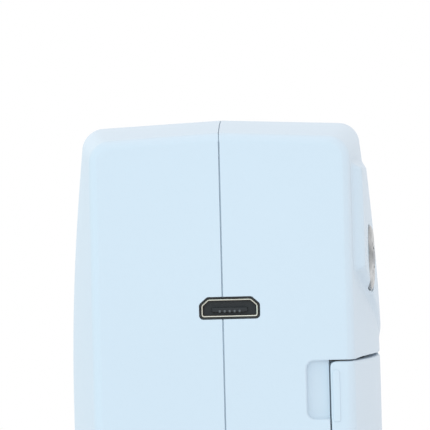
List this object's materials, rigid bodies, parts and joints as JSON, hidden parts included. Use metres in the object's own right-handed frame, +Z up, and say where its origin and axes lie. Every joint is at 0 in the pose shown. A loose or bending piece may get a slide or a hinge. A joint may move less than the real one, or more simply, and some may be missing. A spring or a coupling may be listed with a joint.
{
  "type": "handheld sewing machine",
  "caption": "Slim palm-held rechargeable sewing machine with arched two-part casing, side thread cover, tension dial, handwheel, lift lever and open needle throat.",
  "frame": {"origin": "on the surface that the feet rest on, in the plane of the casing seam, midway between the rear face and the nose", "axes": "+Z up, +Y along the machine towards the needle end, +X towards the side with the handwheel and thread cover"},
  "size_m": [0.0444, 0.2, 0.074],
  "materials": {
    "casing": "moulded satin, pale blue",
    "trim": "moulded satin, off-white",
    "spool_plastic": "moulded gloss",
    "nylon": "moulded natural nylon",
    "thread": "cross-wound white thread",
    "socket_metal": "thin pressed shell",
    "socket_tongue": "black moulded",
    "board": "green solder mask",
    "cell_wrap": "shrink wrap",
    "bright_metal": "polished plated steel",
    "steel": "plain steel",
    "motor_can": "drawn steel can",
    "brass": "turned brass",
    "lens": "clear moulded lens",
    "rubber": "soft grey rubber"
  },
  "bodies": {
    "casing": {"left_shell": "casing", "right_shell": "casing", "usb_shell": "socket_metal", "usb_tongue": "socket_tongue", "charge_board": "board", "battery_cell": "cell_wrap", "battery_cradle": "nylon", "cover_hinge_pin": "steel", "spool_tray": "nylon", "spool_pin": "nylon", "spool_cap": "spool_plastic", "tension_disc_inner": "bright_metal", "tension_disc_outer": "bright_metal", "tension_stud": "steel", "motor": "motor_can", "gear_plate": "steel", "idler_pin": "steel", "shaft_bush_inner": "brass", "shaft_bush_outer": "brass", "rocker_pin": "steel", "needle_bar_guide": "nylon", "presser_bar_guide": "nylon", "needle_plate": "bright_metal", "looper_pin": "steel", "power_switch": "socket_tongue", "lamp_lens": "lens", "rear_thread_guide": "bright_metal", "front_thread_guide": "bright_metal", "rear_foot": "rubber", "front_foot": "rubber", "case_screw_1": "steel", "case_screw_2": "steel", "case_screw_3": "steel", "case_screw_4": "steel", "case_screw_5": "steel"},
    "main_shaft": {"main_shaft": "steel", "main_gear": "nylon", "crank_disc": "steel", "handwheel": "trim"},
    "idler": {"idler_gear": "nylon"},
    "rotor": {"motor_pinion": "brass"},
    "rocker": {"needle_rocker": "steel"},
    "needle_drive": {"needle_bar": "bright_metal", "needle_collar": "steel", "needle_clamp": "bright_metal", "needle_clamp_screw": "bright_metal", "needle": "bright_metal"},
    "looper": {"looper": "steel"},
    "feed": {"feed_dog": "steel"},
    "presser": {"presser_bar": "bright_metal", "presser_foot": "bright_metal"},
    "lift_lever": {"presser_lever": "trim"},
    "button": {"power_button": "trim"},
    "slider": {"speed_slider": "trim"},
    "cover": {"thread_cover": "casing"},
    "spool": {"thread_spool": "spool_plastic", "thread_winding": "thread"},
    "dial": {"tension_dial": "bright_metal"}
  },
  "joints": [
    {"name": "main_shaft_spin", "type": "hinge", "parent": "casing", "child": "main_shaft", "pos_m": [0, 0.00797, 0.044], "axis": [1, 0, 0], "continuous": true},
    {"name": "idler_spin", "type": "hinge", "parent": "casing", "child": "idler", "pos_m": [0, -0.00306, 0.03297], "axis": [1, 0, 0], "continuous": true},
    {"name": "rotor_spin", "type": "hinge", "parent": "casing", "child": "rotor", "pos_m": [0, -0.01603, 0.02825], "axis": [1, 0, 0], "continuous": true},
    {"name": "rocker_swing", "type": "hinge", "parent": "casing", "child": "rocker", "pos_m": [0, 0.046, 0.05], "axis": [1, 0, 0], "range_deg": [-19.44, 0]},
    {"name": "needle_stroke", "type": "slide", "parent": "casing", "child": "needle_drive", "axis": [0, 0, 1], "range_m": [-0.01216, 0]},
    {"name": "looper_swing", "type": "hinge", "parent": "casing", "child": "looper", "pos_m": [0.004, 0.0501, 0], "axis": [0, 0, 1], "range_deg": [0, 12]},
    {"name": "feed_stroke", "type": "slide", "parent": "casing", "child": "feed", "axis": [0, 1, 0], "range_m": [0, 0.0024]},
    {"name": "lift_lever_turn", "type": "hinge", "parent": "casing", "child": "lift_lever", "pos_m": [0, 0.064, 0.041], "axis": [1, 0, 0], "range_deg": [0, 60]},
    {"name": "presser_lift", "type": "slide", "parent": "casing", "child": "presser", "axis": [0, 0, 1], "range_m": [0, 0.005]},
    {"name": "button_press", "type": "slide", "parent": "casing", "child": "button", "axis": [0, 0, -1], "range_m": [0, 0.0015], "stiffness_N_per_m": 300, "springref_m": -0.001},
    {"name": "speed_select", "type": "slide", "parent": "casing", "child": "slider", "axis": [0, 1, 0], "range_m": [0, 0.005]},
    {"name": "cover_open", "type": "hinge", "parent": "casing", "child": "cover", "pos_m": [0.0196, -0.05, 0], "axis": [0, 0, 1], "range_deg": [0, 90]},
    {"name": "spool_turn", "type": "hinge", "parent": "casing", "child": "spool", "pos_m": [0, -0.075, 0.0229], "axis": [1, 0, 0], "continuous": true},
    {"name": "tension_set", "type": "hinge", "parent": "casing", "child": "dial", "pos_m": [0.01964, -0.087, 0.0533], "axis": [0.9964, -0.0851, 0], "range_deg": [-150, 150]}
  ],
  "couplings": [
    {"joint": "idler_spin", "follows": "main_shaft_spin", "ratio": -3.3333},
    {"joint": "rotor_spin", "follows": "main_shaft_spin", "ratio": 12},
    {"joint": "rocker_swing", "follows": "needle_stroke", "rad_per_m": 27.91},
    {"joint": "looper_swing", "follows": "needle_stroke", "rad_per_m": -17.226},
    {"joint": "feed_stroke", "follows": "needle_stroke", "ratio": -0.1973},
    {"joint": "lift_lever_turn", "follows": "presser_lift", "rad_per_m": 209.4}
  ]
}
